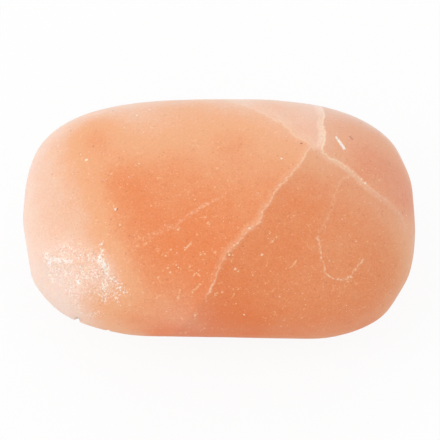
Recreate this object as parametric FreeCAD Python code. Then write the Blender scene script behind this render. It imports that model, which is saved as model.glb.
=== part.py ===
import FreeCAD
import Part
import math
import os

from FreeCAD import Placement, Rotation, Vector

# A bar of pink rock salt, cut to the size of a hand soap. It is one solid stone.
# A slab is sawn, rounded on a grinder into a pebble, and rubbed smooth by hand.
# Frame: +X along the length, +Y to the back, +Z up. The origin is the middle of
# the bar's outline from above, in the plane of the sawn face that it rests on.

# Overall sizes in mm
LENGTH = 90.0
WIDTH = 58.0
HEIGHT = 35.0
GIRTH_HEIGHT = 17.0        # height of the widest line above the rest face
SAWN_OFF = 2.0             # what the saw took from below the full pebble

# Outline from above. Its four outermost points aren't on the centre lines.
BACK_POINT_X = 5.5
FRONT_POINT_X = 12.0
LEFT_POINT_Y = 2.0
RIGHT_POINT_Y = 4.5

# Fullness of each corner of the outline: 2 is an ellipse, and more is squarer
BACK_RIGHT_FULLNESS = 2.47
BACK_LEFT_FULLNESS = 3.15
FRONT_LEFT_FULLNESS = 3.47
FRONT_RIGHT_FULLNESS = 3.13

# Fullness of the end view, above the girth and below it
CROWN_FULLNESS = 2.5
BELLY_FULLNESS = 2.5

# Points that the curves are fitted to, in each quarter turn
OUTLINE_STEPS = 8
PROFILE_STEPS = 8

# Flats that the grinder left. Each has the direction that it faces, as azimuth
# and tilt in degrees, and its depth below the rounded skin in mm.
GROUND_FLATS = {
    "front": (-91.0, -24.5, 0.75),
    "front_left": (-128.5, -16.0, 0.20),
    "left_corner": (-142.0, -10.0, 0.55),
    "left": (-167.5, 3.0, 1.10),
    "back_left": (168.5, 17.0, 0.20),
    "back": (82.0, 35.5, 0.20),
    "back_right": (17.5, 20.0, 0.50),
    "front_right": (-32.0, -7.0, 0.50),
    "coarse_shoulder": (-127.0, 42.0, 0.90),
}

# Nicks where grains broke out along the crystal's cube faces: notches with two
# square faces. Each lies where a ray from the middle of the girth leaves the
# stone, at an azimuth and a tilt in degrees. Then come its length and depth in
# mm, and the turn of its bottom line from the bar's length in degrees.
NICKS = {
    "crown_sliver": (20.8, 28.0, 3.9, 0.30, -60.0),
    "crown_pit": (-162.4, 35.4, 0.9, 0.35, 25.0),
    "rim_chip": (-142.6, -8.5, 5.0, 0.50, 80.0),
    "rim_nick": (-133.6, -7.5, 3.5, 0.30, 100.0),
}

PARTS_FOLDER = "parts"


def direction(azimuth, tilt):
    """The unit vector at an azimuth from +X and a tilt above the horizon, in degrees."""
    turn = math.radians(azimuth)
    rise = math.radians(tilt)
    return Vector(math.cos(turn) * math.cos(rise), math.sin(turn) * math.cos(rise), math.sin(rise))


def quarter_turn(fullness, across, along, steps):
    """Points of a quarter of a superellipse, from (across, 0) up to just before (0, along)."""
    points = []
    for step in range(steps):
        angle = 0.5 * math.pi * step / steps
        reach = (math.cos(angle) ** fullness + math.sin(angle) ** fullness) ** (-1.0 / fullness)
        points.append((across * reach * math.cos(angle), along * reach * math.sin(angle)))
    return points


def outline_curve():
    """The outline from above, as one closed curve that runs counter-clockwise from its right point."""
    to_right = LENGTH / 2
    to_back = WIDTH / 2
    back_right = quarter_turn(BACK_RIGHT_FULLNESS, to_right - BACK_POINT_X,
                              to_back - RIGHT_POINT_Y, OUTLINE_STEPS)
    back_left = quarter_turn(BACK_LEFT_FULLNESS, to_back - LEFT_POINT_Y,
                             to_right + BACK_POINT_X, OUTLINE_STEPS)
    front_left = quarter_turn(FRONT_LEFT_FULLNESS, to_right + FRONT_POINT_X,
                              to_back + LEFT_POINT_Y, OUTLINE_STEPS)
    front_right = quarter_turn(FRONT_RIGHT_FULLNESS, to_back + RIGHT_POINT_Y,
                               to_right - FRONT_POINT_X, OUTLINE_STEPS)
    points = [Vector(BACK_POINT_X + x, RIGHT_POINT_Y + y, 0) for x, y in back_right]
    points += [Vector(BACK_POINT_X - x, LEFT_POINT_Y + y, 0) for y, x in back_left]
    points += [Vector(FRONT_POINT_X - x, LEFT_POINT_Y - y, 0) for x, y in front_left]
    points += [Vector(FRONT_POINT_X + x, RIGHT_POINT_Y - y, 0) for y, x in front_right]
    curve = Part.BSplineCurve()
    curve.interpolate(Points=points, PeriodicFlag=True)
    return curve


def profile_curve():
    """Half of the end view's edge, from the bottom pole out to the girth and up to the top pole."""
    belly = quarter_turn(BELLY_FULLNESS, WIDTH / 2, GIRTH_HEIGHT + SAWN_OFF, PROFILE_STEPS)
    crown = quarter_turn(CROWN_FULLNESS, WIDTH / 2, HEIGHT - GIRTH_HEIGHT, PROFILE_STEPS)
    points = [Vector(0, 0, -SAWN_OFF)]
    points += [Vector(out, 0, GIRTH_HEIGHT - drop) for out, drop in reversed(belly)]
    points += [Vector(out, 0, GIRTH_HEIGHT + rise) for out, rise in crown[1:]]
    points += [Vector(0, 0, HEIGHT)]
    curve = Part.BSplineCurve()
    curve.interpolate(Points=points, InitialTangent=Vector(1, 0, 0), FinalTangent=Vector(-1, 0, 0))
    return curve


def pebble_skin():
    """The rounded skin. At each height it is the outline, drawn in as the profile draws in there."""
    outline = outline_curve()
    profile = profile_curve()
    girth = WIDTH / 2
    poles = [[Vector(around.x * up.x / girth, around.y * up.x / girth, up.z)
              for up in profile.getPoles()]
             for around in outline.getPoles()]
    skin = Part.BSplineSurface()
    skin.buildFromPolesMultsKnots(
        poles,
        outline.getMultiplicities(), profile.getMultiplicities(),
        outline.getKnots(), profile.getKnots(),
        True, False, outline.Degree, profile.Degree)
    return skin


def half_space(facing, distance):
    """A block that holds whatever lies further than a distance from the origin in a direction."""
    side = 3 * max(LENGTH, WIDTH, HEIGHT)
    block = Part.makeBox(side, side, side, Vector(-side / 2, -side / 2, 0))
    block.Placement = Placement(facing * distance, Rotation(Vector(0, 0, 1), facing))
    return block


def farthest(solid, facing):
    """How far a solid reaches from the origin in a direction."""
    turned = solid.copy()
    turned.Placement = Placement(Vector(0, 0, 0), Rotation(facing, Vector(0, 0, 1)))
    return turned.optimalBoundingBox(True, False).ZMax


def ground(pebble):
    """The pebble with its rest face sawn and its flats ground. Each depth counts from the whole pebble."""
    stone = pebble.cut(half_space(Vector(0, 0, -1), 0))
    for azimuth, tilt, depth in GROUND_FLATS.values():
        facing = direction(azimuth, tilt)
        stone = stone.cut(half_space(facing, farthest(pebble, facing) - depth))
    return stone


def notch(stone, skin, azimuth, tilt, length, depth, turn):
    """The square rod that leaves a nick when it goes into the stone edge first."""
    heart = Vector(0, 0, GIRTH_HEIGHT)
    ray = Part.makeLine(heart, heart + direction(azimuth, tilt) * LENGTH)
    place = max((end.Point for end in stone.common(ray).Vertexes), key=heart.distanceToPoint)
    outward = skin.normal(*skin.parameter(place))
    if outward * (place - heart) < 0:
        outward = -outward
    along = Vector(1, 0, 0) - outward * outward.x
    upright = Rotation(along, outward.cross(along), outward, "ZXY")
    rod = Part.makeBox(length, length, length, Vector(-length / 2, 0, 0))
    on_edge = Placement(Vector(0, 0, 0), Rotation(Vector(1, 0, 0), 45))
    rod.Placement = Placement(place - outward * depth, Rotation(outward, turn) * upright) * on_edge
    return rod


def centred(stone):
    """The stone, moved level so that its box stands centrally over the origin."""
    box = stone.optimalBoundingBox(True, False)
    moved = stone.copy()
    moved.translate(Vector(-box.Center.x, -box.Center.y, 0))
    return moved


def salt_bar():
    """The finished stone: the pebble with its rest face, its ground flats and its nicks."""
    skin = pebble_skin()
    pebble = Part.makeSolid(Part.makeShell([skin.toShape()]))
    stone = ground(pebble)
    notches = [notch(stone, skin, *nick) for nick in NICKS.values()]
    return centred(stone.cut(notches))


os.makedirs(PARTS_FOLDER, exist_ok=True)
salt_bar().exportStep(os.path.join(PARTS_FOLDER, "salt_bar.step"))
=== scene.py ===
import math

import bpy
import numpy as np
from mathutils import Matrix, Vector
from mathutils.bvhtree import BVHTree
from mathutils.kdtree import KDTree


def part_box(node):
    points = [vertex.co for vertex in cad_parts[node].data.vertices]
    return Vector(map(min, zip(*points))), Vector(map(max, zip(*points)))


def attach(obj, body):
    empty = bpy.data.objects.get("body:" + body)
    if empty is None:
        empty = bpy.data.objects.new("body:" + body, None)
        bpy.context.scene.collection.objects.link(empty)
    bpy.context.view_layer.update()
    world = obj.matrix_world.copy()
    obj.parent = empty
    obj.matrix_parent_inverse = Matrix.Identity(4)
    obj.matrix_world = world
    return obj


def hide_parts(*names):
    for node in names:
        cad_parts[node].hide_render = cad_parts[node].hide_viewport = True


# A bar of pink rock salt on a white table, lit by a broad window at its left.
# The frame's solid gives the form. This script adds the relief that hands and
# water leave on salt, the healed cracks that run through it, and its colours.
# Lengths are in millimetres in the tables and functions of the stone, and in
# metres wherever they meet Blender.

MM = 0.001
NODE = "salt_bar"
SLOT = "rock_salt"
PIECE = "salt_stone"

# Camera: the photograph's view, in degrees, mm and pixels of its 440 x 440 frame
FRAME_PIXELS = 440.0
CAMERA_RISE = 60.0
CAMERA_DISTANCE = 282.34
LENS = 100.0
SENSOR = 36.0
TARGET = (0.0, 0.0, 17.5)
TARGET_PIXEL = (218.69, 215.69)

# Lights: the place and the size in metres, the power in watts and the colour
LIGHTS = {
    "window": ((-0.62, -0.14, 0.50), (0.36, 0.36), 1.2, (1.0, 0.99, 0.97)),
    "back_window": ((0.10, 0.60, 0.42), (0.60, 0.40), 0.35, (1.0, 0.98, 0.97)),
}
FILL_STRENGTH = 0.88            # of the plain light from all round
TABLE_HALF = 1.5                # metres
TABLE_COLOUR = (0.9, 0.9, 0.9, 1.0)
TABLE_GLOW_SHARE = 0.9          # of what the camera sees of the table. The rest takes the shadow.
WHITE = (1.0, 1.0, 1.0, 1.0)

# Stone mesh
HEART = (0.0, 0.0, 17.0)        # the middle of the girth, where the rays to the skin start
GRID = (190, 122, 74)           # quads along the length, the width and the height
GRID_EVENNESS = 0.85            # 1 spaces the rays by equal angles, and near 0 by equal lengths
FILL_ROUNDS = 60                # how often the nicks are filled before the stone is rubbed round
RUB_ROUNDS = 90                 # how often each point moves half way to the middle of its neighbours

# Relief: the wavelength in mm of each layer of soft waves, their height in mm from
# bottom to top, and the seed
HOLLOWS = (
    (16.0, 0.16, 11),
    (7.0, 0.07, 12),
    (2.6, 0.035, 13),
)
REST_EDGE = 0.75                # the relief fades out where the skin faces down by more than this
PIT_ROUND = 0.8                 # the width of a pit's bell curve, as a share of its radius
SPLINTER_RIM = 1.3              # where a splinter's bed ends, in half widths

# Healed cracks and smears. Each is a sheet through the stone. It is drawn by the
# line where it meets the skin in the photograph, in pixels, and by the direction
# in which it runs down into the stone.
SHEETS = {
    "arch": {
        "pixels": ((230, 101), (240, 104), (258, 111), (275, 120), (282, 122.5), (287, 127), (295, 135),
                   (301, 139), (307, 141.5), (313, 147), (318, 150)),
        "down": (0.1, 0.55, -0.85),
    },
    "river": {
        "pixels": ((318, 148), (310, 147), (307, 151), (304, 158), (300, 164), (295, 170), (284, 181),
                   (273, 194), (271, 201), (265, 207), (262, 213), (259, 223), (248, 230), (237.5, 242.5),
                   (228.6, 251), (222, 262), (217, 273), (213, 284), (209, 292), (204, 299)),
        "down": (-0.25, 0.35, -0.85),
    },
    "stem": {
        "pixels": ((322, 107.5), (324, 111.5), (325, 116), (323.2, 121), (323.4, 125), (325, 129),
                   (325.6, 134), (325.2, 141), (322.8, 147), (321, 151)),
        "down": (0.15, 0.45, -0.85),
    },
    "branch": {
        "pixels": ((321, 149), (323, 153), (328, 157), (337, 161), (343, 165), (353.6, 173), (360, 179),
                   (366, 185), (379, 195), (388, 201), (395, 207), (402, 217), (405, 228), (406, 242)),
        "down": (0.2, 0.3, -0.85),
    },
    "upper_smear": {
        "pixels": ((238, 186), (230, 190), (219, 197.5), (207.5, 204), (195, 211), (181, 220), (172, 229)),
        "down": (0.0, 0.3, -0.95),
    },
    "lower_smear": {
        "pixels": ((182, 226), (165, 229), (152, 235), (135, 242), (128, 249)),
        "down": (0.0, 0.3, -0.95),
    },
    "hook": {
        "pixels": ((316, 236), (319, 242.5), (320, 248), (320.5, 255), (323, 265), (325, 272), (330, 277),
                   (337, 279), (344, 280), (351, 277), (357, 267), (365, 258)),
        "down": (0.0, 0.2, -0.95),
    },
    "faint_arc": {
        "pixels": ((353, 173), (345, 177), (337.5, 185), (335, 196), (332, 209), (326, 222), (318, 234)),
        "down": (0.1, 0.2, -0.95),
    },
}

# Strokes of white along the sheets: the sheet, how far aside in mm, the half
# width and the soft edge in mm, how flaky it is from 0 to 1, and the whiteness
# from 0 to 1 at shares of the way along.
STROKES = (
    ("arch", 0.0, 0.03, 0.40, 0.4, ((0.0, 0.20), (0.4, 0.40), (0.7, 0.52), (0.97, 0.45), (1.0, 0.0))),
    ("arch", -0.6, 0.20, 1.30, 0.1, ((0.0, 0.12), (0.5, 0.14), (0.97, 0.22), (1.0, 0.0))),
    ("river", 0.0, 0.03, 0.36, 0.5, ((0.0, 0.0), (0.03, 0.60), (0.35, 0.52), (0.6, 0.50), (0.72, 0.40),
                                     (0.84, 0.36), (0.96, 0.75), (1.0, 0.0))),
    ("river", 0.3, 0.15, 1.10, 0.2, ((0.0, 0.0), (0.05, 0.12), (0.4, 0.15), (0.6, 0.24), (0.8, 0.16),
                                     (1.0, 0.0))),
    ("stem", 0.15, 0.06, 0.30, 0.2, ((0.0, 0.80), (0.3, 0.90), (0.97, 1.0), (1.0, 0.0))),
    ("stem", 0.8, 0.35, 0.80, 0.5, ((0.0, 0.60), (0.3, 0.45), (0.6, 0.85), (0.9, 0.60), (1.0, 0.0))),
    ("branch", 0.0, 0.05, 0.34, 0.5, ((0.0, 0.0), (0.03, 0.85), (0.30, 0.75), (0.5, 0.55), (0.65, 0.30),
                                      (0.9, 0.20), (1.0, 0.0))),
    ("branch", 0.3, 0.20, 0.95, 0.5, ((0.0, 0.0), (0.05, 0.25), (0.2, 0.52), (0.4, 0.46), (0.6, 0.20),
                                      (0.9, 0.08), (1.0, 0.0))),
    ("upper_smear", 0.0, 0.02, 0.70, 1.0, ((0.0, 0.0), (0.1, 0.20), (0.5, 0.50), (0.8, 0.38), (1.0, 0.0))),
    ("lower_smear", 0.0, 0.02, 1.00, 1.0, ((0.0, 0.0), (0.1, 0.30), (0.5, 0.35), (0.8, 0.25), (1.0, 0.0))),
    ("hook", 0.0, 0.03, 0.38, 0.95, ((0.0, 0.0), (0.02, 0.95), (0.4, 0.80), (0.7, 0.85), (0.97, 0.60),
                                     (1.0, 0.0))),
    ("faint_arc", 0.0, 0.03, 0.60, 0.9, ((0.0, 0.0), (0.05, 0.40), (0.4, 0.25), (0.7, 0.20),
                                         (0.97, 0.35), (1.0, 0.0))),
)

# Paleness of the stone: 0 is the deep rust of the iron in it, and 1 is milk white.
# The cracks part it into crystals, which differ in paleness and in lightness.
PALE_BASE = 0.73
PALE_REGIONS = {"wedge": 0.05, "north_east": -0.01, "south_east": 0.01}
DIM_REGIONS = {"wedge": 0.0, "north_east": 0.052, "south_east": 0.068}
# Painted rim light: the flanks that face left, right and back are made paler, as light glancing off the rim
# and glowing through the thin edges makes them, and the front is made a little deeper, a painted shade by
# the table.
PAINTED_RIM_LIGHT = {"left": 0.22, "right": 0.38, "back": 0.24, "front": -0.05}

# The sides that the camera doesn't see: the paleness in the middle, how much it rises
# up to the right end and up to the back, and the clouds in it, each with its
# wavelength in mm, its strength and its seed
HIDDEN_PALE = 0.55
HIDDEN_RISE = (-0.20, 0.18)
HIDDEN_CLOUDS = ((24.0, 0.24, 21), (9.0, 0.12, 22))
HIDDEN_BLEND = (-0.55, 0.15)    # they take over as the skin turns from the camera between these cosines

# Clouds are round swellings of milk or rust in the stone: the pixel that shows the
# place, the radius in mm, and how much paler or deeper their middle is. They were
# fitted to the broad colours of the photograph.
PALE_CLOUDS = (
    ((154, 276), 16.0, -0.63),
    ((178, 160), 4.7, -0.16),
    ((238, 332), 5.7, -0.23),
    ((350, 264), 15.0, -0.48),
    ((94, 136), 4.1, -0.34),
    ((234, 140), 5.0, -0.27),
    ((350, 308), 16.0, -0.44),
    ((62, 220), 4.4, -0.29),
    ((74, 268), 7.4, 0.14),
    ((106, 268), 3.6, 0.32),
    ((274, 104), 3.6, -0.09),
    ((118, 296), 3.6, 0.23),
    ((366, 152), 6.3, -0.30),
    ((338, 260), 8.0, 0.28),
    ((118, 180), 7.0, -0.33),
    ((190, 112), 6.4, -0.14),
    ((290, 180), 8.1, -0.21),
    ((210, 192), 6.4, -0.17),
    ((326, 148), 3.6, 0.17),
    ((410, 184), 6.8, -0.42),
    ((286, 300), 5.8, 0.10),
    ((170, 336), 3.6, -0.28),
    ((350, 308), 7.6, 0.21),
    ((166, 308), 7.1, 0.27),
    ((194, 336), 7.8, -0.37),
    ((70, 216), 5.7, 0.41),
    ((66, 308), 9.7, 0.33),
    ((406, 280), 3.6, -0.12),
    ((414, 212), 4.5, -0.36),
    ((406, 212), 3.7, -0.16),
    ((194, 328), 3.6, 0.18),
    ((122, 312), 3.8, -0.18),
    ((370, 324), 3.6, -0.15),
    ((350, 332), 4.5, 0.05),
    ((50, 292), 5.0, 0.13),
    ((410, 220), 4.5, 0.14),
)

# Places with a rosier tint, and places where the bright dots and their painted glints crowd: the
# pixel, the radius in mm and the strength
ROSE_CLOUDS = (
    ((352, 135), 9.0, 0.20),
    ((408, 195), 8.0, 0.22),
    ((60, 296), 7.0, 0.04),
    ((185, 325), 6.0, 0.15),
)
GLINT_CROWDS = (
    ((250, 290), 15.0, 0.9),
    ((180, 275), 9.0, 0.7),
    ((345, 285), 10.0, 0.5),
    ((125, 155), 9.0, 0.4),
    ((72, 180), 13.0, 0.8),
    ((175, 115), 14.0, 0.4),
)

# Colours of the salt, as linear red, green and blue
RUST_COLOUR = (0.83, 0.205, 0.040, 1.0)
PEACH_COLOUR = (0.88, 0.42, 0.208, 1.0)
MILK_COLOUR = (0.91, 0.68, 0.57, 1.0)
VEIN_COLOUR = (0.98, 0.70, 0.49, 1.0)
PALE_VEIN_COLOUR = (1.0, 0.79, 0.68, 1.0)
ROSE_COLOUR = (0.80, 0.42, 0.40, 1.0)
# Orange of the bright dots, partly painted glints
SPARK_COLOUR = (1.0, 0.66, 0.36, 1.0)
# Cream of the broken grains, partly painted glints
CREAM_COLOUR = (1.0, 0.78, 0.50, 1.0)
# White of the broken grains, and of the painted glints on them, on the bright dots and on the rough corner
GRAIN_AND_GLINT_WHITE = (1.0, 0.89, 0.81, 1.0)
STAIN_COLOUR = (0.45, 0.10, 0.05, 1.0)
# Deep colour of the dark specks, and of the painted shade round the bright dots
DEEP_COLOUR = (0.60, 0.12, 0.03, 1.0)

# The salt's shine, bump and scattering
SHINE = (0.32, 0.46)            # roughness
BUMP_STRENGTH = 0.35
BUMP_HEIGHT = 0.12              # mm
SALT_IOR = 1.544
SCATTER_WEIGHT = 0.3
SCATTER_RATIOS = (1.0, 0.4, 0.2)
SCATTER_REACH = 3.0             # mm, for red

# Grain of the material, in mm: the finest grit, the ragged edges of the strokes,
# how far the strokes waver, and the mottle
GRIT = 0.42
RAGGED = 0.55
WAVER = 1.3
MOTTLE = 3.0

# Broken grains: the pixel, the radius in mm, the depth in mm and the whiteness, which is partly a painted
# glint
PITS = (
    ((282.6, 157.3), 0.30, 0.20, 0.80), ((287, 162), 0.16, 0.08, 0.64), ((290.5, 165), 0.16, 0.08, 0.64),
    ((294, 167.5), 0.16, 0.08, 0.56), ((275.5, 132), 0.29, 0.15, 0.28), ((262.5, 255), 0.29, 0.16, 0.64),
    ((236, 269), 0.29, 0.18, 0.72), ((238, 272), 0.22, 0.10, 0.48), ((170, 272), 0.22, 0.10, 0.64),
    ((244, 314), 0.25, 0.12, 0.72), ((274, 312.5), 0.22, 0.10, 0.56), ((280, 297), 0.22, 0.12, 0.56),
    ((124, 128), 0.26, 0.12, 0.52), ((60, 151), 0.26, 0.12, 0.55), ((86.5, 160), 0.36, 0.16, 0.80),
    ((139.5, 163), 0.26, 0.12, 0.60), ((111, 173), 0.30, 0.12, 0.45), ((53, 178), 0.26, 0.10, 0.55),
    ((207.5, 222.5), 0.25, 0.12, 0.48), ((179, 230), 0.30, 0.12, 0.48), ((179, 195), 0.22, 0.12, 0.40),
    ((95, 122.5), 0.20, 0.10, 0.32), ((132, 141), 0.20, 0.10, 0.28), ((162, 140), 0.20, 0.10, 0.24),
    ((56, 234), 0.23, 0.12, 0.56), ((286, 267.5), 0.23, 0.12, 0.48), ((187.5, 246), 0.23, 0.10, 0.56),
    ((170, 249), 0.20, 0.10, 0.56), ((166, 255), 0.20, 0.10, 0.56), ((167.5, 267.5), 0.20, 0.10, 0.48),
    ((200, 255), 0.22, 0.10, 0.48), ((179, 297.5), 0.25, 0.12, 0.40), ((195, 315), 0.22, 0.10, 0.40),
    ((380, 179), 0.20, 0.10, 0.32), ((309, 226), 0.22, 0.10, 0.40), ((315, 220), 0.20, 0.10, 0.40),
    ((325, 227.5), 0.20, 0.10, 0.32), ((352, 278), 0.32, 0.14, 0.48), ((348, 281), 0.25, 0.10, 0.40),
    ((361, 179), 0.24, 0.10, 0.75), ((365, 183.5), 0.28, 0.10, 0.80), ((115, 210), 0.34, 0.10, 0.80),
    ((113.8, 206), 0.22, 0.05, 0.55), ((175.7, 265), 0.20, 0.08, 0.50), ((221.5, 291.5), 0.20, 0.08, 0.45),
    ((236, 304.5), 0.20, 0.08, 0.45), ((361.5, 169.5), 0.20, 0.06, 0.60), ((380, 180), 0.20, 0.06, 0.50),
    ((250, 227.5), 0.26, 0.10, 0.75), ((237.5, 242.5), 0.22, 0.08, 0.65), ((229, 251), 0.18, 0.06, 0.55),
    ((262.5, 213), 0.18, 0.06, 0.50), ((273.5, 193), 0.16, 0.06, 0.60), ((246, 233), 0.16, 0.06, 0.55),
    ((215.5, 152.5), 0.20, 0.06, 0.30), ((174, 139), 0.20, 0.06, 0.30), ((110, 155), 0.22, 0.06, 0.35),
    ((151, 205.5), 0.18, 0.06, 0.60), ((215, 186), 0.18, 0.06, 0.50), ((229, 181), 0.20, 0.06, 0.40),
    ((206, 217.5), 0.16, 0.06, 0.60), ((239, 205.5), 0.18, 0.06, 0.55), ((294, 215.5), 0.18, 0.06, 0.45),
)

# Splinters that broke out, and short scratches: the pixels of both ends, the half
# width and the depth in mm, and the whiteness
SPLINTERS = (
    ((336.0, 136.5), (339.0, 140.5), 0.26, 0.12, 0.95),
    ((338.5, 140.0), (344.5, 148.5), 0.38, 0.20, 0.95),
    ((184.5, 250.0), (191.0, 242.5), 0.14, 0.03, 0.55),
    ((193.0, 276.0), (200.0, 269.5), 0.16, 0.03, 0.55),
    ((192.0, 293.0), (200.5, 283.5), 0.20, 0.03, 0.35),
    ((178.0, 300.0), (180.5, 288.5), 0.14, 0.03, 0.45),
    ((194.5, 313.0), (195.5, 317.5), 0.15, 0.04, 0.55),
    ((203.0, 250.5), (205.5, 254.0), 0.16, 0.03, 0.60),
    ((206.5, 221.5), (210.0, 226.0), 0.18, 0.03, 0.55),
    ((138.0, 268.5), (147.0, 274.0), 0.12, 0.02, 0.35),
    ((270.5, 243.0), (277.0, 236.5), 0.14, 0.03, 0.45),
    ((290.0, 268.0), (296.5, 260.5), 0.14, 0.03, 0.40),
)

# Chips of the rim, which run along the camera's line of sight: the pixel, how far they
# reach to both sides of it, the half width and the depth in mm, and the whiteness
RIM_CHIPS = (
    ((77.5, 322.0), 5.0, 0.50, 0.75, 0.0),
    ((108.0, 331.5), 3.5, 0.36, 0.40, 0.0),
)
RIM_CHIP_STEPS = 8

# Specks of iron and clay in the stone: the pixel, the radius in mm and the strength
STAINS = (
    ((302, 143), 0.28, 0.7), ((350, 137), 0.38, 0.4), ((352, 138.5), 0.38, 0.35), ((361, 123), 0.4, 0.35),
    ((93, 147), 0.28, 0.5), ((71, 131), 0.26, 0.5), ((113, 111), 0.28, 0.4), ((51, 175), 0.25, 0.4),
    ((129, 236), 0.25, 0.4), ((402, 213), 0.3, 0.4), ((250, 281), 0.28, 0.20), ((331, 208), 0.26, 0.4),
    ((119, 324), 0.4, 0.25), ((167, 280), 0.28, 0.20), ((117, 208.5), 0.28, 0.9),
)

# Small bright dots anywhere in the stone, partly pale grains and partly painted glints, each with a painted
# shade round it: the spacing and radius in mm, the share of the places that hold one and the strength
GLINT_DOTS = (
    (1.7, 0.27, 0.20, 0.80),
    (2.6, 0.38, 0.22, 0.80),
)

# The rough corner, where grains were plucked out and where the window's reflection is painted
# as white glints: the pixels of both ends of each patch, its radius in mm and its strength
PLUCKED_AND_GLINTS = (
    ((46, 255), (49, 264), 0.8, 1.0),
    ((50, 259), (70, 261), 0.8, 0.85),
    ((60, 250), (86, 256), 2.0, 0.42),
    ((99, 257), (105, 268), 0.9, 1.12),
    ((103, 262), (106, 275), 0.6, 1.10),
    ((92, 256), (99, 262), 1.6, 0.50),
    ((101.5, 243), (102, 256), 0.5, 0.60),
    ((66, 288), (108, 293), 2.4, 0.40),
    ((51, 275), (52, 281), 0.55, 1.0),
    ((56, 272), (96, 274), 2.4, 0.45),
    ((76, 278), (79, 284), 0.9, 0.80),
    ((106, 280), (103, 300), 1.1, 0.60),
    ((112, 278), (124, 292), 1.1, 0.55),
    ((115, 294), (117, 302), 0.9, 0.55),
    ((76, 302), (80, 313), 0.8, 0.50),
    ((88, 316), (100, 313), 1.0, 0.50),
    ((38, 290), (70, 302), 2.6, 0.15),
)
GRAIN_SIZE = 1.3                # mm
GRAIN_TILT = 0.22               # the usual slope of a plucked grain's bed
GRAIN_SEED = 40
PLUCKED_DEPTH = 0.10            # mm that the rough corner lies deeper on average
PLUCKED_RANGE = (-0.10, 0.45)   # mm that a point of it rises or sinks at most


def unit(vector):
    """The vector at length one."""
    vector = np.asarray(vector, float)
    return vector / np.linalg.norm(vector)


def camera_axes():
    """The camera's back, right and up directions."""
    rise = math.radians(CAMERA_RISE)
    back = np.array([0.0, -math.cos(rise), math.sin(rise)])
    up = np.array([0.0, math.sin(rise), math.cos(rise)])
    return back, np.array([1.0, 0.0, 0.0]), up


def camera_place():
    """Where the camera stands, in mm, so that the target falls on its pixel."""
    back, right, up = camera_axes()
    focal = LENS / SENSOR * FRAME_PIXELS
    middle = FRAME_PIXELS / 2
    aside = (middle - TARGET_PIXEL[0]) * CAMERA_DISTANCE / focal
    higher = (TARGET_PIXEL[1] - middle) * CAMERA_DISTANCE / focal
    return np.array(TARGET) + back * CAMERA_DISTANCE + right * aside + up * higher


def pixel_ray(pixel):
    """The direction in which the camera sees a pixel of the photograph."""
    back, right, up = camera_axes()
    focal = LENS / SENSOR * FRAME_PIXELS
    middle = FRAME_PIXELS / 2
    return unit(right * (pixel[0] - middle) - up * (pixel[1] - middle) - back * focal)


def solid_tree(node):
    """The frame's solid, ready for rays, in mm."""
    mesh = node.data
    corners = [tuple(v.co / MM) for v in mesh.vertices]
    faces = [tuple(p.vertices) for p in mesh.polygons]
    return BVHTree.FromPolygons(corners, faces)


def on_skin(tree, pixel):
    """The point of the skin that a pixel of the photograph shows, or the nearest one to its ray."""
    start = Vector(camera_place())
    ray = Vector(pixel_ray(pixel))
    hit = tree.ray_cast(start, ray)[0]
    if hit is None:
        reach = (Vector(HEART) - start).dot(ray)
        hit = tree.find_nearest(start + ray * reach)[0]
    return np.array(hit)


def on_mesh(tree, points, pixel):
    """The mesh point nearest to what a pixel shows. There a mark smaller than a quad isn't lost."""
    return points[((points - on_skin(tree, pixel)) ** 2).sum(1).argmin()]


def lattice_faces(grid):
    """Corner rows of each quad on the six sides of a block of grid cells, facing outwards."""
    quads = []
    for side in range(3):
        first, second = (side + 1) % 3, (side + 2) % 3
        i, j = np.meshgrid(np.arange(grid[first]), np.arange(grid[second]), indexing="ij")
        i, j = i.ravel(), j.ravel()
        for level in (0, grid[side]):
            loop = ((0, 0), (1, 0), (1, 1), (0, 1))
            if level == 0:
                loop = loop[::-1]
            corners = np.zeros((len(i), 4, 3), int)
            for k, (a, b) in enumerate(loop):
                corners[:, k, side] = level
                corners[:, k, first] = i + a
                corners[:, k, second] = j + b
            quads.append(corners)
    return np.concatenate(quads)


def spread(share):
    """Bends evenly spaced shares, from -1 to 1, so that their rays are even in angle."""
    return np.tan(share * GRID_EVENNESS * math.pi / 4) / math.tan(GRID_EVENNESS * math.pi / 4)


def stone_grid(tree, low, high):
    """An even mesh of quads over the solid's skin, from rays that start at its heart."""
    corners = lattice_faces(GRID)
    flat = corners.reshape(-1, 3)
    rows, where = np.unique(flat, axis=0, return_inverse=True)
    quads = where.reshape(-1, 4)
    shares = rows / np.array(GRID) * 2.0 - 1.0
    rays = spread(shares) * (np.asarray(high) - np.asarray(low)) / 2
    start = Vector(HEART)
    points = np.array([tree.ray_cast(start, Vector(ray).normalized())[0] for ray in rays])
    return points, quads


def neighbours(count, quads):
    """The rows of each point's four neighbours along the quads' edges. A missing one is the point itself."""
    ends = np.concatenate([quads[:, [k, (k + 1) % 4]] for k in range(4)])
    ends = np.unique(np.concatenate([ends, ends[:, ::-1]]), axis=0)
    first = np.searchsorted(ends[:, 0], np.arange(count))
    beside = np.repeat(np.arange(count)[:, None], 4, axis=1)
    beside[ends[:, 0], np.arange(len(ends)) - first[ends[:, 0]]] = ends[:, 1]
    return beside


def filled(points, quads, beside):
    """The points with the nicks filled: those that lie below their neighbours come up."""
    outward = normals(points, quads)
    for _ in range(FILL_ROUNDS):
        lift = ((points[beside].mean(1) - points) * outward).sum(1)
        points = points + outward * np.clip(lift, 0, None)[:, None]
    return points


def rubbed(points, beside):
    """The points after each one moved to its neighbours again and again."""
    for _ in range(RUB_ROUNDS):
        points = 0.5 * points + 0.5 * points[beside].mean(1)
    return points


def smoothed(points, beside):
    """The points with the edges of the flats rubbed round, and with what rubbing took off put back."""
    once = rubbed(points, beside)
    return 2 * once - rubbed(once, beside)


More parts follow.
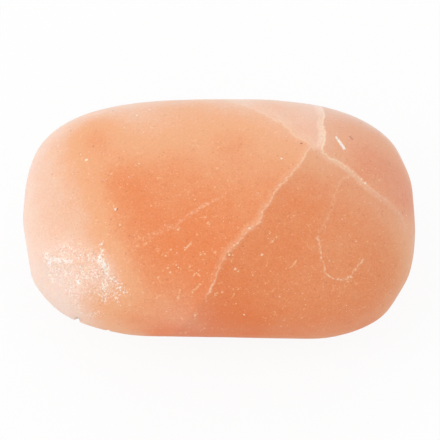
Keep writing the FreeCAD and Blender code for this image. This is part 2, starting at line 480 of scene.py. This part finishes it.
def normals(points, quads):
    """Outward unit normals at the points."""
    a, b, c, d = (points[quads[:, k]] for k in range(4))
    face = np.cross(c - a, d - b)
    total = np.zeros_like(points)
    for k in range(4):
        for axis in range(3):
            total[:, axis] += np.bincount(quads[:, k], weights=face[:, axis], minlength=len(points))
    return total / np.linalg.norm(total, axis=1)[:, None]


def cloud(points, wavelength, seed):
    """Smooth noise from -1 to 1 at the points, the same on every run."""
    place = points / wavelength
    cell = np.floor(place).astype(np.int64)
    part = place - cell
    ease = part * part * part * (part * (part * 6 - 15) + 10)
    total = np.zeros(len(points))
    for corner in np.ndindex(2, 2, 2):
        knot = cell + np.array(corner)
        key = (knot[:, 0] * 73856093) ^ (knot[:, 1] * 19349663) ^ (knot[:, 2] * 83492791)
        key = key ^ (seed * 2654435761)
        key = (key ^ (key >> 13)) * 1274126177
        key = (key ^ (key >> 16)) & 0xFFFF
        value = key / 32767.5 - 1.0
        weight = np.ones(len(points))
        for axis in range(3):
            weight = weight * (ease[:, axis] if corner[axis] else 1.0 - ease[:, axis])
        total += weight * value
    return total


def sheet_frame(down):
    """Two directions that span the plane across a sheet's run into the stone."""
    down = unit(down)
    across = unit(np.cross((0.0, 1.0, 0.0), down))
    return across, np.cross(down, across)


def sheet_distance(points, line, down):
    """Signed distance in mm from a bent sheet, and the share of the way along its line.

    Beyond both ends of the line the sheet goes straight on.
    """
    across, along = sheet_frame(down)
    flat = np.stack([points @ across, points @ along], 1)
    knots = np.stack([line @ across, line @ along], 1)
    lengths = np.concatenate([[0.0], np.cumsum(np.linalg.norm(np.diff(knots, axis=0), axis=1))])
    nearest = np.full(len(points), 1e9)
    side = np.zeros(len(points))
    run = np.zeros(len(points))
    last = len(knots) - 2
    for k in range(last + 1):
        step = knots[k + 1] - knots[k]
        size = np.linalg.norm(step)
        offset = flat - knots[k]
        share = (offset @ step) / size ** 2
        held = np.clip(share, -1e6 if k == 0 else 0.0, 1e6 if k == last else 1.0)
        gap = np.linalg.norm(offset - held[:, None] * step, axis=1)
        closer = gap < nearest
        cross = step[0] * offset[:, 1] - step[1] * offset[:, 0]
        nearest = np.where(closer, gap, nearest)
        side = np.where(closer, np.where(cross >= 0, gap, -gap), side)
        run = np.where(closer, lengths[k] + held * size, run)
    return side, run / lengths[-1]


def soft_step(values, low, high):
    """0 below low, 1 above high, and a smooth rise between."""
    share = np.clip((values - low) / (high - low), 0.0, 1.0)
    return share * share * (3 - 2 * share)


def swelling(points, centre, radius):
    """A bell curve that falls off round a place."""
    gap = ((points - centre) ** 2).sum(1)
    return np.exp(-gap / (2 * radius ** 2))


def from_segment(points, first, second):
    """Each point's distance from a straight segment."""
    step = second - first
    share = np.clip((points - first) @ step / max(step @ step, 1e-9), 0.0, 1.0)
    return np.linalg.norm(points - first - share[:, None] * step, axis=1)


def regions(marks):
    """How far each point lies in each of the crystals that the cracks part, from 0 to 1."""
    in_front_of = {name: soft_step(marks[name + "_side"], -0.3, 0.3) for name in SHEETS}
    wedge = (1 - in_front_of["arch"]) * in_front_of["stem"]
    north_east = (1 - in_front_of["stem"]) * (1 - in_front_of["branch"])
    south_east = (1 - in_front_of["river"]) * in_front_of["branch"] * (1 - wedge)
    return {"wedge": wedge, "north_east": north_east, "south_east": south_east}


def paleness(points, facing, parts, tree):
    """How pale the stone is at each point, from 0 to 1: its milkiness, with painted rim light and shade on
    its flanks.
    """
    pale = np.full(len(points), PALE_BASE)
    flanks = {"left": -facing[:, 0], "right": facing[:, 0], "back": facing[:, 1], "front": -facing[:, 1]}
    # Painted rim light and shade, by the way each point faces
    for name, amount in PAINTED_RIM_LIGHT.items():
        pale += amount * np.clip(flanks[name], 0, 1) ** 2
    for pixel, radius, amount in PALE_CLOUDS:
        pale += amount * swelling(points, on_skin(tree, pixel), radius)
    for name, amount in PALE_REGIONS.items():
        pale += amount * parts[name]
    reach = points.max(0)
    hidden = HIDDEN_PALE + (points[:, :2] / reach[:2]) @ np.array(HIDDEN_RISE)
    for wavelength, amount, seed in HIDDEN_CLOUDS:
        hidden += amount * cloud(points, wavelength, seed)
    seen = soft_step(facing @ camera_axes()[0], *HIDDEN_BLEND)
    return seen * np.clip(pale, 0, 1) + (1 - seen) * hidden


def grains(points, seed):
    """How far each point sinks where whole grains were plucked out, in mm."""
    random = np.random.default_rng(seed)
    low = points.min(0)
    span = points.max(0) - low
    number = int(span.prod() / GRAIN_SIZE ** 3)
    seeds = KDTree(number)
    places = low + random.random((number, 3)) * span
    for k, place in enumerate(places):
        seeds.insert(place, k)
    seeds.balance()
    owner = np.array([seeds.find(point)[1] for point in points])
    tilts = random.normal(0.0, GRAIN_TILT, (number, 3))
    return ((points - places[owner]) * tilts[owner]).sum(1)


def along_sight(tree, pixel, reach):
    """Points of the skin along the ray of a pixel, up to a reach in mm to both sides of the nearest one."""
    middle = on_skin(tree, pixel)
    ray = pixel_ray(pixel)
    return [np.array(tree.find_nearest(Vector(middle + ray * step))[0])
            for step in np.linspace(-reach, reach, RIM_CHIP_STEPS)]


def splinters(tree):
    """Both ends on the skin, the half width, the depth and the whiteness of each splinter and chip."""
    ends = [(on_skin(tree, first), on_skin(tree, second), *rest) for first, second, *rest in SPLINTERS]
    for pixel, reach, *rest in RIM_CHIPS:
        bend = along_sight(tree, pixel, reach)
        ends += [(first, second, *rest) for first, second in zip(bend, bend[1:])]
    return ends


def marks_of(points, facing, tree):
    """The marks that the material reads at each point."""
    marks = {}
    for name, sheet in SHEETS.items():
        line = np.array([on_skin(tree, pixel) for pixel in sheet["pixels"]])
        marks[name + "_side"], marks[name + "_run"] = sheet_distance(points, line, sheet["down"])
    marks["plucked_and_glints"] = np.zeros(len(points))
    for first, second, radius, strength in PLUCKED_AND_GLINTS:
        gap = from_segment(points, on_skin(tree, first), on_skin(tree, second))
        marks["plucked_and_glints"] = np.maximum(marks["plucked_and_glints"], strength * np.exp(-(gap / radius) ** 2))
    flecks = [(*[on_mesh(tree, points, pixel)] * 2, radius, white) for pixel, radius, _, white in PITS]
    flecks += [(first, second, wide, white) for first, second, wide, _, white in splinters(tree)]
    marks["fleck"], marks["fleck_white_and_glint"] = spot_marks(points, flecks)
    stains = [(*[on_mesh(tree, points, pixel)] * 2, radius, amount) for pixel, radius, amount in STAINS]
    marks["stain"], marks["stain_depth"] = spot_marks(points, stains)
    parts = regions(marks)
    marks["pale"] = paleness(points, facing, parts, tree)
    marks["dim"] = sum(amount * parts[name] for name, amount in DIM_REGIONS.items())
    for name, clouds in (("rose", ROSE_CLOUDS), ("specks", GLINT_CROWDS)):
        marks[name] = sum(amount * swelling(points, on_skin(tree, pixel), radius)
                          for pixel, radius, amount in clouds)
    return marks


def spot_marks(points, spots):
    """How far inside the nearest spot each point is, in mm, and how strong that spot is.

    A spot is all that lies within its radius of the segment between its two ends.
    """
    inside = np.full(len(points), -1.0)
    strength = np.zeros(len(points))
    for first, second, radius, amount in spots:
        depth = radius - from_segment(points, first, second)
        strength = np.where(depth > inside, amount, strength)
        inside = np.maximum(depth, inside)
    return inside, strength


def relief(points, facing, plucked_and_glints, tree):
    """How far each point of the skin sinks, in mm."""
    depth = np.zeros(len(points))
    for wavelength, amount, seed in HOLLOWS:
        depth += 0.5 * amount * cloud(points, wavelength, seed)
    for pixel, radius, deep, _ in PITS:
        depth += deep * swelling(points, on_mesh(tree, points, pixel), PIT_ROUND * radius)
    torn = np.zeros(len(points))
    for first, second, wide, deep, _ in splinters(tree):
        gap = from_segment(points, first, second)
        torn = np.maximum(torn, deep * np.clip(SPLINTER_RIM - gap / wide, 0, 1))
    depth += torn
    rough = plucked_and_glints > 0.02
    plucked = np.zeros(len(points))
    plucked[rough] = PLUCKED_DEPTH + grains(points[rough], GRAIN_SEED)
    depth += np.clip(plucked_and_glints, 0, 1) * np.clip(plucked, *PLUCKED_RANGE)
    resting = np.clip((-facing[:, 2] - REST_EDGE) / (1 - REST_EDGE), 0, 1)
    return depth * (1 - resting)


def stone_mesh(points, quads, marks):
    """The Blender object of the stone, with its marks as attributes."""
    mesh = bpy.data.meshes.new(PIECE)
    mesh.from_pydata((points * MM).tolist(), [], quads.tolist())
    mesh.polygons.foreach_set("use_smooth", [True] * len(mesh.polygons))
    for name, values in marks.items():
        layer = mesh.attributes.new(name, "FLOAT", "POINT")
        layer.data.foreach_set("value", values.astype(np.float32))
    mesh.update()
    piece = bpy.data.objects.new(PIECE, mesh)
    bpy.context.scene.collection.objects.link(piece)
    return piece


def make_stone(node):
    """The salt bar: its form, relief and marks."""
    tree = solid_tree(node)
    low, high = (np.array(corner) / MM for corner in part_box(NODE))
    points, quads = stone_grid(tree, low, high)
    beside = neighbours(len(points), quads)
    points = smoothed(filled(points, quads, beside), beside)
    facing = normals(points, quads)
    marks = marks_of(points, facing, tree)
    points = points - facing * relief(points, facing, marks["plucked_and_glints"], tree)[:, None]
    points = np.clip(points, low, high)
    return stone_mesh(points, quads, marks)


class Graph:
    """Short calls that add shader nodes to a material and link them."""

    def __init__(self, material):
        self.tree = material.node_tree
        self.place = self.new("ShaderNodeTexCoord").outputs["Object"]

    def new(self, kind, **settings):
        node = self.tree.nodes.new(kind)
        for name, value in settings.items():
            setattr(node, name, value)
        return node

    def feed(self, socket, value):
        if isinstance(value, bpy.types.NodeSocket):
            self.tree.links.new(value, socket)
        else:
            socket.default_value = value

    def mark(self, name):
        return self.new("ShaderNodeAttribute", attribute_name=name).outputs["Fac"]

    def math(self, operation, first, second=0.0, third=0.0):
        node = self.new("ShaderNodeMath", operation=operation)
        for socket, value in zip(node.inputs, (first, second, third)):
            self.feed(socket, value)
        return node.outputs[0]

    def step(self, value, low, high, bottom=0.0, top=1.0):
        """A smooth rise from bottom to top as the value goes from low to high."""
        node = self.new("ShaderNodeMapRange", interpolation_type="SMOOTHSTEP")
        for socket, number in zip(node.inputs, (value, low, high, bottom, top)):
            self.feed(socket, number)
        return node.outputs[0]

    def noise(self, grain, detail=2.0, roughness=0.5, shift=0.0):
        """Noise from 0 to 1 whose lumps are about a grain across, in mm."""
        place = self.new("ShaderNodeVectorMath", operation="ADD")
        self.feed(place.inputs[0], self.place)
        place.inputs[1].default_value = (shift, shift, shift)
        node = self.new("ShaderNodeTexNoise")
        self.feed(node.inputs["Vector"], place.outputs[0])
        node.inputs["Scale"].default_value = 1.0 / (grain * MM)
        node.inputs["Detail"].default_value = detail
        node.inputs["Roughness"].default_value = roughness
        return node.outputs["Fac"]

    def dots(self, spacing, radius, share):
        """Round dots of a radius in mm. A share of the cells of a spacing in mm has one, some brighter."""
        node = self.new("ShaderNodeTexVoronoi")
        self.feed(node.inputs["Vector"], self.place)
        node.inputs["Scale"].default_value = 1.0 / (spacing * MM)
        split = self.new("ShaderNodeSeparateColor")
        self.feed(split.inputs[0], node.outputs["Color"])
        spot = self.step(node.outputs["Distance"], 0.5 * radius / spacing, 1.2 * radius / spacing, 1.0, 0.0)
        chosen = self.step(split.outputs[0], 1.0 - share, 1.0 - share + 0.02)
        bright = self.step(split.outputs[1], 0.0, 1.0, 0.35, 1.0)
        return self.math("MULTIPLY", self.math("MULTIPLY", spot, chosen), bright)

    def scaled(self, colour, factor):
        """A colour made lighter or darker by a factor."""
        node = self.new("ShaderNodeVectorMath", operation="SCALE")
        self.feed(node.inputs[0], colour)
        self.feed(node.inputs["Scale"], factor)
        return node.outputs[0]

    def blend(self, share, first, second):
        """A colour that goes from the first to the second as the share goes from 0 to 1."""
        node = self.new("ShaderNodeMix", data_type="RGBA")
        self.feed(node.inputs[0], share)
        self.feed(node.inputs[6], first)
        self.feed(node.inputs[7], second)
        return node.outputs[2]


def stroke_white(graph, stroke, wander, ragged):
    """How white one stroke makes the stone: a ragged line that fades as its table says."""
    name, aside, half_width, edge, flaky, shares = stroke
    side = graph.math("ADD", graph.mark(name + "_side"), wander)
    gap = graph.math("ABSOLUTE", graph.math("SUBTRACT", side, aside))
    line = graph.step(gap, half_width, half_width + edge, 1.0, 0.0)
    ramp = graph.new("ShaderNodeValToRGB")
    stops = ramp.color_ramp.elements
    while len(stops) < len(shares):
        stops.new(0.5)
    for stop, (place, level) in zip(stops, shares):
        stop.position = place
        stop.color = (level, level, level, 1.0)
    run = graph.mark(name + "_run")
    graph.feed(ramp.inputs[0], run)
    line = graph.math("MULTIPLY", line, graph.step(run, -1.5, 0.0, 0.35, 1.0))
    flakes = graph.step(ragged, 0.30 + 0.15 * flaky, 0.50 + 0.15 * flaky, 1.0 - 0.9 * flaky, 1.0)
    return graph.math("MULTIPLY", graph.math("MULTIPLY", line, flakes), ramp.outputs[0])


def strokes_white(graph):
    """How white all strokes together make the stone."""
    bend = graph.math("SUBTRACT", graph.noise(WAVER, 2.0, 0.6, shift=0.7), 0.5)
    bend = graph.math("MULTIPLY", bend, WAVER)
    ragged = graph.noise(RAGGED, 2.0, 0.6, shift=0.9)
    white = 0.0
    for stroke in STROKES:
        white = graph.math("MAXIMUM", white, stroke_white(graph, stroke, bend, ragged))
    return white


def walls(graph, size, low, high):
    """The bent walls between cells of crystal of a size in mm: 1 on a wall, and 0 away from it."""
    bent = graph.new("ShaderNodeVectorMath", operation="MULTIPLY_ADD")
    drift = graph.new("ShaderNodeTexNoise")
    graph.feed(drift.inputs["Vector"], graph.place)
    drift.inputs["Scale"].default_value = 1.0 / (0.6 * size * MM)
    graph.feed(bent.inputs[0], drift.outputs["Color"])
    bent.inputs[1].default_value = (0.85 * size * MM,) * 3
    graph.feed(bent.inputs[2], graph.place)
    cells = graph.new("ShaderNodeTexVoronoi", feature="DISTANCE_TO_EDGE")
    graph.feed(cells.inputs["Vector"], bent.outputs[0])
    cells.inputs["Scale"].default_value = 1.0 / (size * MM)
    return graph.step(cells.outputs["Distance"], low, high, 1.0, 0.0)


def bright_dots_and_shade(graph, colour, deepness):
    """The colour with small bright dots on it, partly pale grains and partly painted glints, each with a
    painted shade round it, and with hair cracks.
    """
    crowd = graph.step(graph.noise(5.0, 2.0, 0.5, shift=1.3), 0.42, 0.60, 0.20, 0.85)
    crowd = graph.math("MULTIPLY", crowd, graph.math("ADD", graph.mark("specks"), 1.0))
    crowd = graph.math("MULTIPLY", crowd, deepness)
    pieces = graph.step(graph.noise(1.1, 2.0, 0.6, shift=2.3), 0.56, 0.66, 0.0, 0.28)
    cracks = graph.math("MULTIPLY", walls(graph, 2.6, 0.02, 0.07), pieces)
    bright = graph.math("MAXIMUM", graph.math("MULTIPLY", graph.dots(0.8, 0.17, 0.30), 0.28), cracks)
    # Painted shade: a darker halo round each bright dot, in place of a small pit's shadow
    dot_shade = 0.0
    for spacing, radius, share, strength in GLINT_DOTS:
        dots = graph.math("MULTIPLY", graph.dots(spacing, radius, share), strength)
        bright = graph.math("MAXIMUM", bright, dots)
        dot_shade = graph.math("MAXIMUM", dot_shade, graph.dots(spacing, 1.9 * radius, share))
    deep = graph.step(graph.mark("pale"), 0.45, 0.85, 0.24, 0.07)
    dot_shade = graph.math("MULTIPLY", dot_shade, graph.math("MULTIPLY", crowd, deep))
    colour = graph.blend(dot_shade, colour, DEEP_COLOUR)
    tint = graph.blend(graph.step(graph.mark("pale"), 0.3, 0.9), SPARK_COLOUR, GRAIN_AND_GLINT_WHITE)
    return graph.blend(graph.math("MULTIPLY", bright, crowd), colour, tint)


def lightness(graph, fine):
    """How light each point is, round 1. Some crystals are dimmer, and the rough corner is gritty, with
    painted light and shade that flicker from grain to grain.
    """
    strength = graph.math("MULTIPLY_ADD", graph.mark("plucked_and_glints"), 0.90, 0.22)
    whole = graph.math("SUBTRACT", 1.0, graph.mark("dim"))
    return graph.math("MULTIPLY_ADD", graph.math("SUBTRACT", fine, 0.5), strength, whole)


def broken(graph, fine, colour):
    """The colour with the broken grains on it: single ones, whose white is partly a painted glint, and the
    painted glints of the window's reflection on the rough corner.
    """
    inside = graph.math("MULTIPLY_ADD", graph.math("SUBTRACT", fine, 0.5), 0.9, graph.mark("fleck"))
    named = graph.math("MULTIPLY", graph.step(inside, -0.06, 0.12), graph.mark("fleck_white_and_glint"))
    tint = graph.blend(graph.step(graph.mark("fleck_white_and_glint"), 0.5, 0.95), CREAM_COLOUR, GRAIN_AND_GLINT_WHITE)
    colour = graph.blend(named, colour, tint)
    # Painted glints: the window's reflection on the rough corner, broken up by its grains, painted in white
    glints = graph.math("MULTIPLY", graph.noise(0.38, 1.0, 0.5, shift=1.9), 1.7)
    glints = graph.math("MULTIPLY_ADD", walls(graph, 1.1, 0.08, 0.22), 0.26, glints)
    painted_glints = graph.math("MULTIPLY_ADD", graph.mark("plucked_and_glints"), 0.75, glints)
    return graph.blend(graph.step(painted_glints, 1.38, 1.76, 0.0, 0.88), colour, GRAIN_AND_GLINT_WHITE)


def salt_colour(graph, fine):
    """The colour of the salt: rust and milk with painted rim light on the flanks, then bright dots with
    painted glints and painted shade, cracks, specks of iron, and broken grains with painted glints.
    """
    mottle = graph.noise(MOTTLE, 3.0, 0.6, shift=0.3)
    deepness = graph.step(graph.mark("pale"), 0.1, 0.8, 1.0, 0.6)
    coarse = graph.math("MULTIPLY_ADD", graph.mark("plucked_and_glints"), 0.9, graph.math("MULTIPLY", deepness, 0.25))
    grain = graph.math("MULTIPLY", graph.math("SUBTRACT", fine, 0.5), coarse)
    pale = graph.math("MULTIPLY_ADD", graph.math("SUBTRACT", mottle, 0.5), 0.14, graph.mark("pale"))
    pale = graph.math("ADD", pale, grain)
    deep = graph.blend(graph.step(pale, 0.0, 0.5), RUST_COLOUR, PEACH_COLOUR)
    colour = graph.blend(graph.step(pale, 0.5, 1.0), deep, MILK_COLOUR)
    colour = graph.blend(graph.mark("rose"), colour, ROSE_COLOUR)
    dim = graph.step(graph.mark("pale"), 0.45, 0.85, 0.34, 0.12)
    dim = graph.math("MULTIPLY", graph.dots(1.1, 0.24, 0.45), dim)
    colour = bright_dots_and_shade(graph, graph.blend(dim, colour, DEEP_COLOUR), deepness)
    vein = graph.blend(graph.step(graph.mark("pale"), 0.6, 0.9), VEIN_COLOUR, PALE_VEIN_COLOUR)
    colour = graph.blend(strokes_white(graph), colour, vein)
    inside = graph.math("MULTIPLY_ADD", graph.math("SUBTRACT", fine, 0.5), 0.8, graph.mark("stain"))
    stain = graph.math("MULTIPLY", graph.step(inside, -0.08, 0.12), graph.mark("stain_depth"))
    colour = graph.blend(stain, colour, STAIN_COLOUR)
    colour = graph.scaled(colour, lightness(graph, fine))
    return broken(graph, fine, colour)


def salt_material():
    """Rock salt, rubbed to a dull shine."""
    material = bpy.data.materials.new(SLOT)
    material.use_nodes = True
    graph = Graph(material)
    shader = material.node_tree.nodes["Principled BSDF"]
    fine = graph.noise(GRIT, 3.0, 0.7)
    graph.feed(shader.inputs["Base Color"], salt_colour(graph, fine))
    graph.feed(shader.inputs["Roughness"], graph.step(fine, 0.2, 0.8, *SHINE))
    bump = graph.new("ShaderNodeBump")
    bump.inputs["Strength"].default_value = BUMP_STRENGTH
    bump.inputs["Distance"].default_value = BUMP_HEIGHT * MM
    graph.feed(bump.inputs["Height"], fine)
    graph.feed(shader.inputs["Normal"], bump.outputs[0])
    shader.inputs["IOR"].default_value = SALT_IOR
    shader.inputs["Subsurface Weight"].default_value = SCATTER_WEIGHT
    shader.inputs["Subsurface Radius"].default_value = SCATTER_RATIOS
    shader.inputs["Subsurface Scale"].default_value = SCATTER_REACH * MM
    return material


def table_material():
    """A white table top. The camera sees it as white, and it takes the bar's shadow."""
    material = bpy.data.materials.new("white_table")
    material.use_nodes = True
    nodes = material.node_tree.nodes
    links = material.node_tree.links
    nodes.clear()
    out = nodes.new("ShaderNodeOutputMaterial")
    matt = nodes.new("ShaderNodeBsdfDiffuse")
    matt.inputs["Color"].default_value = TABLE_COLOUR
    glow = nodes.new("ShaderNodeEmission")
    glow.inputs["Color"].default_value = WHITE
    blend = nodes.new("ShaderNodeMixShader")
    seen = nodes.new("ShaderNodeLightPath")
    share = nodes.new("ShaderNodeMath")
    share.operation = "MULTIPLY"
    share.inputs[1].default_value = TABLE_GLOW_SHARE
    links.new(seen.outputs["Is Camera Ray"], share.inputs[0])
    links.new(share.outputs[0], blend.inputs[0])
    links.new(matt.outputs[0], blend.inputs[1])
    links.new(glow.outputs[0], blend.inputs[2])
    links.new(blend.outputs[0], out.inputs["Surface"])
    return material


def make_table():
    """The table top under the bar."""
    half = TABLE_HALF
    corners = [(-half, -half, 0), (half, -half, 0), (half, half, 0), (-half, half, 0)]
    mesh = bpy.data.meshes.new("table")
    mesh.from_pydata(corners, [], [(0, 1, 2, 3)])
    table = bpy.data.objects.new("table", mesh)
    bpy.context.scene.collection.objects.link(table)
    mesh.materials.append(table_material())


def area_light(name, place, size, watts, colour):
    """A soft rectangular light that faces the bar. Place and size are in metres."""
    data = bpy.data.lights.new(name, "AREA")
    data.shape = "RECTANGLE"
    data.size, data.size_y = size
    data.energy = watts
    data.color = colour
    lamp = bpy.data.objects.new(name, data)
    lamp.location = place
    lamp.rotation_euler = (Vector(TARGET) * MM - Vector(place)).to_track_quat("-Z", "Y").to_euler()
    bpy.context.scene.collection.objects.link(lamp)


def light_stage():
    """A window at the left, a paler one behind, and plain white light from all round."""
    for name, settings in LIGHTS.items():
        area_light(name, *settings)
    world = bpy.data.worlds.new("studio")
    world.use_nodes = True
    bpy.context.scene.world = world
    nodes = world.node_tree.nodes
    links = world.node_tree.links
    nodes.clear()
    out = nodes.new("ShaderNodeOutputWorld")
    fill = nodes.new("ShaderNodeBackground")
    fill.inputs["Color"].default_value = WHITE
    fill.inputs["Strength"].default_value = FILL_STRENGTH
    white = nodes.new("ShaderNodeBackground")
    white.inputs["Color"].default_value = WHITE
    white.inputs["Strength"].default_value = 1.0
    blend = nodes.new("ShaderNodeMixShader")
    seen = nodes.new("ShaderNodeLightPath")
    links.new(seen.outputs["Is Camera Ray"], blend.inputs[0])
    links.new(fill.outputs[0], blend.inputs[1])
    links.new(white.outputs[0], blend.inputs[2])
    links.new(blend.outputs[0], out.inputs["Surface"])


def make_camera():
    """The camera of the photograph."""
    data = bpy.data.cameras.new("camera")
    data.lens = LENS
    data.sensor_width = SENSOR
    data.clip_start = 0.01
    camera = bpy.data.objects.new("camera", data)
    back, right, up = camera_axes()
    turn = Matrix((right, up, back)).transposed().to_4x4()
    camera.matrix_world = Matrix.Translation(Vector(camera_place()) * MM) @ turn
    bpy.context.scene.collection.objects.link(camera)
    bpy.context.scene.camera = camera


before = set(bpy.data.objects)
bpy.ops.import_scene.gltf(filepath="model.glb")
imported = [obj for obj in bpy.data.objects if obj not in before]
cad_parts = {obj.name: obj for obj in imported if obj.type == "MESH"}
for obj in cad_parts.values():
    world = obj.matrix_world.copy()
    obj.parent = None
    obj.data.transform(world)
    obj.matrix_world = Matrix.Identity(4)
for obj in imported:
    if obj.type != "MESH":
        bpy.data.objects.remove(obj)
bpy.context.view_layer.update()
stone = make_stone(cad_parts[NODE])
stone.data.materials.append(salt_material())
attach(stone, "root")
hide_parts(NODE)
make_table()
light_stage()
make_camera()
bpy.context.scene.view_settings.view_transform = "Standard"
